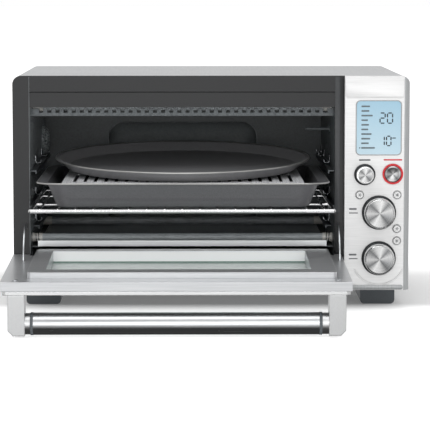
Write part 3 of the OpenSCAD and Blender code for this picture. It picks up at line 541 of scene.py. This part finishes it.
tub_w, tub_d, lean, wall = pan_w - 0.025, pan_d - 0.010, 0.009, 0.0012
pan_rings = [pan_ring(tub_w - 2 * lean - 0.010, tub_d - 2 * lean - 0.010, 0.014, base_z),
             pan_ring(tub_w - 2 * lean - 0.003, tub_d - 2 * lean - 0.003, 0.018, base_z + 0.0012),
             pan_ring(tub_w - 2 * lean, tub_d - 2 * lean, 0.0195, base_z + 0.004),
             pan_ring(tub_w - 0.001, tub_d - 0.001, 0.0235, rim_z - 0.004),
             pan_ring(tub_w + 0.0022, tub_d + 0.0022, 0.0255, rim_z - 0.0016),
             pan_ring(pan_w - 0.003, pan_d - 0.003, 0.0265, rim_z - 0.0014),
             pan_ring(pan_w - 0.0008, pan_d - 0.0008, 0.0276, rim_z - 0.0018),
             pan_ring(pan_w, pan_d, 0.028, rim_z - 0.0010),
             pan_ring(pan_w - 0.0010, pan_d - 0.0010, 0.0275, rim_z - 0.0001),
             pan_ring(pan_w - 0.0035, pan_d - 0.0035, 0.0262, rim_z),
             pan_ring(tub_w - 0.001, tub_d - 0.001, 0.024, rim_z - 0.0003),
             pan_ring(tub_w - 2 * wall - 0.001, tub_d - 2 * wall - 0.001, 0.0225, rim_z - 0.003),
             pan_ring(tub_w - 2 * lean - 2 * wall, tub_d - 2 * lean - 2 * wall, 0.018,
                      base_z + 0.0052),
             pan_ring(tub_w - 2 * lean - 0.012, tub_d - 2 * lean - 0.012, 0.013, base_z + wall)]
pan = piece("roasting_pan_drawn", loft(pan_rings), "roasting", enamel)
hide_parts("roasting_pan")

# The grid's fine ribs are painted as close light and dark stripes from front to back: painted
# highlight and shade.
rib_stripes_painted = new_material("grey_enamel_painted_rib_stripes", "#cecfd1", Metallic=0.2)
grain(rib_stripes_painted, "#aaabad", "#eeeff1", 260, (6, 0.05, 1), rough=(0.25, 0.4), detail=1.0)
dress(rib_stripes_painted, "broil_rack")

# The bead round the rim, in a light steel colour that paints the rim's highlight.
bare_steel_and_painted_highlight = new_material("steel_rim_painted_highlight", "#a8a8a6", Metallic=0.8)
grain(bare_steel_and_painted_highlight, "#a2a2a0", "#aeaeac", 300, (0.05, 1, 1), rough=(0.28, 0.34))
edge = rounded_outline(pan_w - 0.0012, pan_d - 0.0012, 0.0275, 14)
edge = np.stack([pan_x + edge[:, 0], pan_y + edge[:, 1],
                 np.full(len(edge), rim_z - 0.0009)], -1)
piece("roasting_pan_bead", carried(edge, 0.0010, 8, closed=True), "roasting", bare_steel_and_painted_highlight)

# The rear lifting strap is a bent steel strip that also props the round pan.
strap_y, strap_r = pan_high.y - 0.004, 0.0012
leg, shoulder = 0.053, 0.046
foot_z, bend_z, top_z = rim_z - 0.001, pan_high.z - 0.008, pan_high.z - strap_r
strap = np.array([[-leg, foot_z], [-leg, bend_z], [-shoulder, top_z],
                  [shoulder, top_z], [leg, bend_z], [leg, foot_z]])
fine = np.linspace(0, len(strap) - 1, 61)
strap = np.stack([np.interp(fine, range(len(strap)), strap[:, i]) for i in (0, 1)], -1)
strap = np.stack([pan_x + strap[:, 0], np.full(len(strap), strap_y), strap[:, 1]], -1)
piece("pan_lifting_strap", carried(strap, strap_r, 10), "roasting", bare_steel_and_painted_highlight)

# ---- pizza pan ------------------------------------------------------------------------------
# Spun steel in dark non-stick coating, with a flat rolled edge in a light steel colour that
# paints its highlight. It lies tilted on the roasting pan, higher at the rear.

coating = new_material("dark_non_stick_coating", "#78787a", IOR=1.45)
grain(coating, "#727274", "#7f7f81", 700, (1, 1, 1), rough=(0.32, 0.42), bump=6e-6)
dress(coating, "pizza_pan")
low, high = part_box("pizza_pan")
tilt = math.radians(2.9)
turn = np.linspace(0, 2 * math.pi, 181)[:-1]
pan_r = (high.x - low.x) / 2
edge_r = pan_r - 0.0008
rim_up, rim_shift, flat_inset = 0.0113, 0.01125, 0.014
base_y = (low.y + high.y) / 2 + rim_shift * math.sin(tilt)
flat_z = low.z + (pan_r - flat_inset) * math.sin(tilt)
edge = np.stack([(low.x + high.x) / 2 + edge_r * np.cos(turn),
                 base_y + edge_r * np.sin(turn) * math.cos(tilt) - rim_up * math.sin(tilt),
                 flat_z + edge_r * np.sin(turn) * math.sin(tilt) + rim_up * math.cos(tilt)], -1)
piece("pizza_pan_edge", carried(edge, 0.0011, 12, closed=True), "pizza", bare_steel_and_painted_highlight)

# ---- crumb tray -----------------------------------------------------------------------------
# Rolled aluminium with its front edge turned up and over, so the lip is bright on top.

rolled = new_material("rolled_aluminium", "#d2d4d5", Metallic=0.8)
grain(rolled, "#c8cacb", "#dcdedf", 600, (0.03, 1, 1), rough=(0.28, 0.38), bump=2e-6)
dress(rolled, "crumb_tray")
tray_low, tray_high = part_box("crumb_tray")
lip = np.stack([np.linspace(tray_low.x + 0.0006, tray_high.x - 0.0006, 40),
                np.full(40, tray_low.y + 0.0010), np.full(40, tray_high.z - 0.0010)], -1)
piece("crumb_tray_lip", carried(lip, 0.0010, 12), "tray", bare_steel_and_painted_highlight)

# ---- control fascia -------------------------------------------------------------------------
# A die-cast panel in fine brushed silver lacquer, with a darker trim down its outer side.
# Lacquer over brushing is half metallic, so it stays light from every side.

fascia = new_material("silver_lacquer_on_zinc", "#d8d8d8", Metallic=0.35)
grain(fascia, "#d3d3d3", "#dddddd", 700, (0.04, 1, 1), rough=(0.32, 0.42), bump=1e-6, edge=0.001)
dress(fascia, "control_fascia")
trim = new_material("grey_lacquered_trim", "#a6a8a9", Metallic=0.6)
grain(trim, "#9ea0a1", "#aeb0b1", 700, (1, 1, 0.04), rough=(0.34, 0.44), edge=0.001)
dress(trim, "fascia_edge")
fascia_low, fascia_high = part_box("control_fascia")
lcd_low, lcd_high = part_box("lcd_window")
panel_y = lcd_low.y + 0.0004

# A cap in a less metallic lacquer crosses the top of the panel above a fine step.
cap = new_material("white_silver_lacquer", "#d6d6d6", Metallic=0.2)
grain(cap, "#d1d1d1", "#dbdbdb", 700, (0.04, 1, 1), rough=(0.3, 0.4))
cap_w = fascia_high.x - fascia_low.x - 0.0012
fascia_x = (fascia_low.x + fascia_high.x) / 2
piece("fascia_cap", front_plate(fascia_x, fascia_high.z - 0.0135, cap_w, 0.0245, 0.003, panel_y,
      panel_y - 0.0007), "housing", cap)

# A grey band closes the foot of the panel.
piece("fascia_foot", front_plate(fascia_x, fascia_low.z + 0.0032, cap_w, 0.0056, 0.0026, panel_y,
      panel_y - 0.0006), "housing", trim)

# ---- display --------------------------------------------------------------------------------
# A blue back-lit liquid crystal display behind a clear window in a thin silver bezel. The
# light falls off towards the top.

display = new_material("back_lit_display_window", "#c4e2f0", IOR=1.5, Roughness=0.12,
                       Emission_Strength=0.06)
tree = display.node_tree
place = add(tree, "ShaderNodeTexCoord")
lcd_h = lcd_high.z - lcd_low.z
mapping = add(tree, "ShaderNodeMapping", [(place.outputs["Object"], "Vector")],
              Scale=(1, 1, 1 / lcd_h), Location=(0, 0, -lcd_low.z / lcd_h))
upright = add(tree, "ShaderNodeSeparateXYZ", [(mapping.outputs["Vector"], "Vector")])
glow = add(tree, "ShaderNodeValToRGB", [(upright.outputs["Z"], "Fac")])
glow.color_ramp.elements[0].color = linear("#a8bfca")
glow.color_ramp.elements[1].color = linear("#8aabbd")
for socket in ("Base Color", "Emission Color"):
    tree.links.new(glow.outputs["Color"], tree.nodes["Principled BSDF"].inputs[socket])
dress(display, "lcd_window")

# Switched segments are nearly black and matt.
ink = new_material("display_ink", "#242b2f", IOR=1.45)
grain(ink, "#20272b", "#2a3135", 900, (1, 1, 1), rough=(0.4, 0.5))
shown_y = lcd_low.y
segments = {"0": "abcdef", "1": "bc", "2": "abged"}


def segment_digit(x, z, w, h, digit):
    """A seven-segment digit centred at x, z: bars a to g, each a plate with rounded ends."""
    t = 0.0014
    at = {"a": (0, h / 2, 1), "g": (0, 0, 1), "d": (0, -h / 2, 1), "f": (-w / 2, h / 4, 0),
          "b": (w / 2, h / 4, 0), "e": (-w / 2, -h / 4, 0), "c": (w / 2, -h / 4, 0)}
    solids = []
    for key in segments[digit]:
        dx, dz, flat = at[key]
        size = (w - t, t) if flat else (t, h / 2 - t)
        solids.append(front_plate(x + dx, z + dz, *size, t / 2, shown_y, shown_y - 0.00015,
                                  0.00005))
    return merged(solids)


# Each digit's place from the window's upper left corner, its width and height, and its value.
shown = [(0.0310, 0.0205, 0.0060, 0.0120, "2"), (0.0398, 0.0205, 0.0060, 0.0120, "0"),
         (0.0312, 0.0475, 0.0040, 0.0112, "1"), (0.0385, 0.0475, 0.0052, 0.0112, "0")]
digits = [segment_digit(lcd_low.x + across, lcd_high.z - down, w, h, digit)
          for across, down, w, h, digit in shown]
digits.append(front_plate(lcd_low.x + 0.0446, lcd_high.z - 0.0441, 0.0044, 0.0011, 0.0004, shown_y,
                          shown_y - 0.00015, 0.00005))
piece("display_digits", merged(digits), "housing", ink)

# Ten short bars of varied length stand for the menu, with a pointer beside the last. They are
# fine, so they look greyer than the digits.
menu_mm = [10.0, 9.2, 13.2, 7.6, 8.8, 8.0, 12.0, 10.4, 8.8, 16.0]
menu_z = lcd_high.z - 0.0066 - np.arange(len(menu_mm)) * 0.00546
menu = [front_plate(lcd_low.x + 0.0060 + w / 2000, z, w / 1000, 0.0019, 0.0004, shown_y,
                    shown_y - 0.00012, 0.00004) for w, z in zip(menu_mm, menu_z)]
menu.append(front_plate(lcd_low.x + 0.0042, menu_z[-1], 0.0014, 0.0016, 0.0006, shown_y,
                        shown_y - 0.00012, 0.00004))
faint_ink = new_material("fine_display_ink", "#5d676c", IOR=1.45)
grain(faint_ink, "#545e63", "#687277", 900, (1, 1, 1), rough=(0.4, 0.5))
piece("display_menu_bars", merged(menu), "housing", faint_ink)

# The bezel is a half-round bead of silver lacquer round the window.
bezel = rounded_outline(lcd_high.x - lcd_low.x, lcd_high.z - lcd_low.z, 0.005, 12)
bezel = np.stack([bezel[:, 0] + (lcd_low.x + lcd_high.x) / 2, np.full(len(bezel), panel_y),
                  bezel[:, 1] + (lcd_low.z + lcd_high.z) / 2], -1)
piece("display_bezel", carried(bezel, 0.0007, 8, closed=True), "housing", trim)

# ---- dials ----------------------------------------------------------------------------------
# Each dial is a turned aluminium cap: a skirt coloured dark to paint the shadow ring round it,
# a polished bevel, and a face finished by spinning against an abrasive, so its grain is in rings;
# its glints in wedges are painted into the face's colour.


def spun_face_painted_glints(name, x, z):
    """Spun aluminium centred at x, z: wedges of light and dark painted into the colour round the
    centre as the glints of concentric turning marks, with fine rings of roughness."""
    material = new_material(name, "#c9cacb", Metallic=1.0)
    tree = material.node_tree
    shader = tree.nodes["Principled BSDF"]
    place = add(tree, "ShaderNodeTexCoord")
    centred = add(tree, "ShaderNodeMapping", [(place.outputs["Object"], "Vector")],
                  Location=(-x, 0, -z))
    split = add(tree, "ShaderNodeSeparateXYZ", [(centred.outputs["Vector"], "Vector")])
    angle = add(tree, "ShaderNodeMath", [(split.outputs["Z"], 0), (split.outputs["X"], 1)],
                operation="ARCTAN2")
    turned = add(tree, "ShaderNodeMapRange", [(angle.outputs["Value"], "Value")],
                 From_Min=-math.pi, From_Max=math.pi)
    # The wedges are a painted highlight and painted shade in the base colour.
    wedge = add(tree, "ShaderNodeValToRGB", [(turned.outputs["Result"], "Fac")])
    ramp = wedge.color_ramp
    stops = [(0.0, "#b8b8b8"), (0.09, "#707172"), (0.17, "#d2d2d2"), (0.27, "#bababa"),
             (0.36, "#68696a"), (0.45, "#9c9d9e"), (0.55, "#c6c6c6"), (0.63, "#7b7c7d"),
             (0.72, "#d2d2d2"), (0.80, "#bcbcbc"), (0.88, "#6d6e6f"), (1.0, "#b8b8b8")]
    ramp.elements[0].position, ramp.elements[0].color = stops[0][0], linear(stops[0][1])
    ramp.elements[1].position, ramp.elements[1].color = stops[-1][0], linear(stops[-1][1])
    for position, colour in stops[1:-1]:
        ramp.elements.new(position).color = linear(colour)
    tree.links.new(wedge.outputs["Color"], shader.inputs["Base Color"])
    flat = add(tree, "ShaderNodeCombineXYZ",
               [(split.outputs["X"], "X"), (split.outputs["Z"], "Z")])
    far = add(tree, "ShaderNodeVectorMath", [(flat.outputs["Vector"], 0)], operation="LENGTH")
    rings = add(tree, "ShaderNodeTexNoise", [(far.outputs["Value"], "W")], noise_dimensions="1D",
                Scale=2500)
    spread = add(tree, "ShaderNodeMapRange", [(rings.outputs["Fac"], "Value")],
                 To_Min=0.22, To_Max=0.38)
    tree.links.new(spread.outputs["Result"], shader.inputs["Roughness"])
    return material


def turned_solid(x, z, profile):
    """A profile of (radius, y) pairs turned about the line through x, z along Y."""
    profile = np.asarray(profile, float)
    turn = np.linspace(0, 2 * math.pi, 96, endpoint=False)[None, :]
    r, y = profile[:, :1], profile[:, 1:]
    return loft(np.stack(np.broadcast_arrays(x + r * np.cos(turn), y, z + r * np.sin(turn)), -1))


# The skirt's dark colour paints the shadow ring round each dial.
skirt_painted_shadow = new_material("dark_skirt_painted_shadow", "#303234", Metallic=0.7)
grain(skirt_painted_shadow, "#2a2c2e", "#383a3c", 900, (1, 1, 1), rough=(0.3, 0.4))
bevel = new_material("polished_aluminium_bevel", "#dcdddd", Metallic=1.0)
grain(bevel, "#d2d3d3", "#e6e6e6", 500, (1, 1, 1), rough=(0.1, 0.18))
for node, body in (("function_dial", "function_knob"), ("temp_dial", "temperature_knob"),
                   ("time_dial", "time_knob")):
    low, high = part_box(node)
    x, z, r = (low.x + high.x) / 2, (low.z + high.z) / 2, (high.x - low.x) / 2
    front, back = low.y, panel_y - 0.0003
    face_r = r * 0.78
    piece(node + "_skirt", turned_solid(x, z, [(0.001, back), (r, back), (r, back - 0.0022),
          (r - 0.0008, back - 0.0032), (r - 0.0020, back - 0.0036), (0.001, back - 0.0036)]),
          body, skirt_painted_shadow)
    cap_solid = turned_solid(x, z, [(0.001, back - 0.003), (r - 0.0022, back - 0.003),
                                    (r - 0.0024, front + 0.0030), (r - 0.0030, front + 0.0010),
                                    (r - 0.0042, front), (face_r + 0.0003, front + 0.0002),
                                    (face_r, front + 0.0011), (0.001, front + 0.0012)])
    held = piece(node + "_bevel", cap_solid, body, bevel, smooth=50)
    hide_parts(node)
    piece(node + "_face", turned_solid(x, z, [(0.0002, front + 0.0014), (face_r, front + 0.0014),
          (face_r, front + 0.0009), (0.0002, front + 0.0009)]),
          body, spun_face_painted_glints(node + "_spun_aluminium_painted_glints", x, z), smooth=60)

# ---- start button ---------------------------------------------------------------------------
# A turned button in a translucent red ring that lights while the oven runs.

low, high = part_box("start_button")
x, z, r = (low.x + high.x) / 2, (low.z + high.z) / 2, (high.x - low.x) / 2
front = low.y
cap_solid = turned_solid(x, z, [(0.001, front + 0.007), (r, front + 0.007), (r, front + 0.0010),
                                (r - 0.0006, front + 0.0002), (r - 0.0016, front),
                                (r - 0.0022, front + 0.0004), (0.0002, front + 0.0012)])
# Its face carries the same painted glints in wedges.
button = piece("start_button_cap", cap_solid, "start_key",
               spun_face_painted_glints("start_button_spun_aluminium_painted_glints", x, z), smooth=50)
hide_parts("start_button")
red = new_material("translucent_red_acrylic", "#b81620", IOR=1.49, Emission_Strength=0.06)
grain(red, "#b0121c", "#c21e28", 700, (1, 1, 1), rough=(0.2, 0.3))
red.node_tree.nodes["Principled BSDF"].inputs["Emission Color"].default_value = linear("#e02030")
dress(red, "start_light_ring")

# ---- icon buttons and printed marks ---------------------------------------------------------
# Four small satin buttons with a printed ring and a simple mark, and short printed bars that
# stand where a real panel has its words.

satin_key = new_material("satin_silver_key", "#dcdcdc", Metallic=0.5)
grain(satin_key, "#d5d5d5", "#e3e3e3", 900, (1, 1, 1), rough=(0.3, 0.4))
print_grey = new_material("screen_printed_grey", "#6c6e70", IOR=1.45)
grain(print_grey, "#66686a", "#747678", 900, (1, 1, 1), rough=(0.45, 0.55))
print_red = new_material("screen_printed_red", "#c4454a", IOR=1.45)
grain(print_red, "#bd3f44", "#cb4c51", 900, (1, 1, 1), rough=(0.45, 0.55))
for number, key in enumerate("abcd"):
    node = "icon_button_" + key
    dress(satin_key, node)
    low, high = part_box(node)
    x, z, r = (low.x + high.x) / 2, (low.z + high.z) / 2, (high.x - low.x) / 2
    turn = np.linspace(0, 2 * math.pi, 49)[:-1]
    marks = [carried(np.stack([x + (r - 0.0006) * np.cos(turn), np.full(48, low.y),
                               z + (r - 0.0006) * np.sin(turn)], -1), 0.00035, 6, closed=True)]
    for spoke in range(3 + number % 2):
        a = spoke * math.pi / (3 + number % 2)
        reach = np.linspace(-1, 1, 9)[:, None] * (r - 0.0020)
        line = np.array([x, low.y, z]) + reach * np.array([math.cos(a), 0, math.sin(a)])
        marks.append(carried(line, 0.0003, 6))
    piece(node + "_mark", merged(marks), "key_" + key, print_grey)

function_low, function_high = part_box("function_dial")
temp_low, temp_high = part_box("temp_dial")
time_low, time_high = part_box("time_dial")
above = [((function_low.x + function_high.x) / 2, function_high.z + 0.0046, 0.0135, 0.0020)]
for dial_low, dial_high in ((temp_low, temp_high), (time_low, time_high)):
    middle = (dial_low.z + dial_high.z) / 2
    above.append((dial_low.x - 0.0105, middle + 0.0042, 0.0090, 0.0022))
    above.append((dial_low.x - 0.0098, middle - 0.0006, 0.0104, 0.0013))
bars = [front_plate(bx, bz, w, h, h / 3, panel_y, panel_y - 0.00012, 0.00004)
        for bx, bz, w, h in above]
piece("printed_labels", merged(bars), "housing", print_grey)
start_low, start_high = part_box("start_light_ring")
piece("printed_start_label", front_plate((start_low.x + start_high.x) / 2, start_high.z + 0.0046,
      0.0220, 0.0018, 0.0006, panel_y, panel_y - 0.00012, 0.00004), "housing",
      print_red)

# ---- studio ---------------------------------------------------------------------------------
# A white floor with a painted glow under a large soft overhead light and two front lights, and a
# camera on a long lens a little above the oven.

reach = 30
floor_mesh = bpy.data.meshes.new("studio_floor")
floor_mesh.from_pydata([(-reach, -reach, 0), (reach, -reach, 0), (reach, reach, 0),
                        (-reach, reach, 0)], [], [(0, 1, 2, 3)])
floor = bpy.data.objects.new("studio_floor", floor_mesh)
floor.visible_glossy = False
bpy.context.scene.collection.objects.link(floor)

# The floor's glow is painted light. It changes from front to rear: bright in front of the oven,
# weakest under it so that the contact shadow stays, and bright again behind it.
paper = new_material("white_floor_painted_glow", "#f0f0f0", Roughness=0.9)
tree = paper.node_tree
paper_shader = tree.nodes["Principled BSDF"]
paper_shader.inputs["Emission Color"].default_value = (1, 1, 1, 1)
place = add(tree, "ShaderNodeTexCoord")
split = add(tree, "ShaderNodeSeparateXYZ", [(place.outputs["Object"], "Vector")])
deep = add(tree, "ShaderNodeMapRange", [(split.outputs["Y"], "Value")],
           From_Min=-0.2, From_Max=0.6)
lit = add(tree, "ShaderNodeValToRGB", [(deep.outputs["Result"], "Fac")])
for position, level in ((0.25, 0.12), (0.58, 0.12), (0.8, 0.62)):
    lit.color_ramp.elements.new(position).color = (level, level, level, 1)
lit.color_ramp.elements[0].position, lit.color_ramp.elements[0].color = 0.185, (0.7, 0.7, 0.7, 1)
lit.color_ramp.elements[-1].color = (0.62, 0.62, 0.62, 1)
tree.links.new(lit.outputs["Color"], paper_shader.inputs["Emission Strength"])
floor_mesh.materials.append(paper)

# The room is white to the camera. For all else it is dark below and bright above, which gives
# the metal something to reflect.
world = bpy.data.worlds.new("studio_world")
bpy.context.scene.world = world
world.use_nodes = True
tree = world.node_tree
place = add(tree, "ShaderNodeTexCoord")
upright = add(tree, "ShaderNodeSeparateXYZ", [(place.outputs["Generated"], "Vector")])
fall = add(tree, "ShaderNodeMapRange", [(upright.outputs["Z"], "Value")],
           From_Min=-0.62, From_Max=-0.25, To_Min=0.06, To_Max=0.76)
seen = add(tree, "ShaderNodeLightPath")
level = add(tree, "ShaderNodeMath",
            [(seen.outputs["Is Camera Ray"], 0), (fall.outputs["Result"], 1)],
            operation="MAXIMUM")
tree.links.new(level.outputs["Value"], tree.nodes["Background"].inputs["Strength"])
tree.nodes["Background"].inputs["Color"].default_value = (1, 1, 1, 1)


def soft_light(name, place, aim, size, power):
    """A square area light at place that points at aim."""
    lamp = bpy.data.lights.new(name, "AREA")
    lamp.size, lamp.energy = size, power
    held = bpy.data.objects.new(name, lamp)
    held.location = place
    direction = np.array(aim) - np.array(place)
    held.rotation_euler = (math.atan2(math.hypot(*direction[:2]), -direction[2]), 0,
                           math.atan2(-direction[0], direction[1]))
    bpy.context.scene.collection.objects.link(held)


soft_light("overhead", (-0.2, -0.7, 1.9), (0, 0, 0.1), 1.6, 12)
soft_light("front_fill", (0.6, -2.6, 1.1), (0, 0, 0.12), 1.2, 5)
soft_light("level_fill", (-0.2, -2.5, 0.3), (0, 0, 0.15), 1.3, 8)

camera = bpy.data.cameras.new("camera")
camera.lens, camera.sensor_width = 190.97, 36
eye_x, eye_z, eye_ahead = -0.0249, 0.395, 2.7
down_tilt, side_turn = math.radians(5.89), math.radians(-0.628)
view = bpy.data.objects.new("camera", camera)
view.location = (eye_x, face - eye_ahead, eye_z)
view.rotation_euler = (math.pi / 2 - down_tilt, 0, side_turn)
bpy.context.scene.collection.objects.link(view)
bpy.context.scene.camera = view
bpy.context.scene.view_settings.view_transform = "Standard"
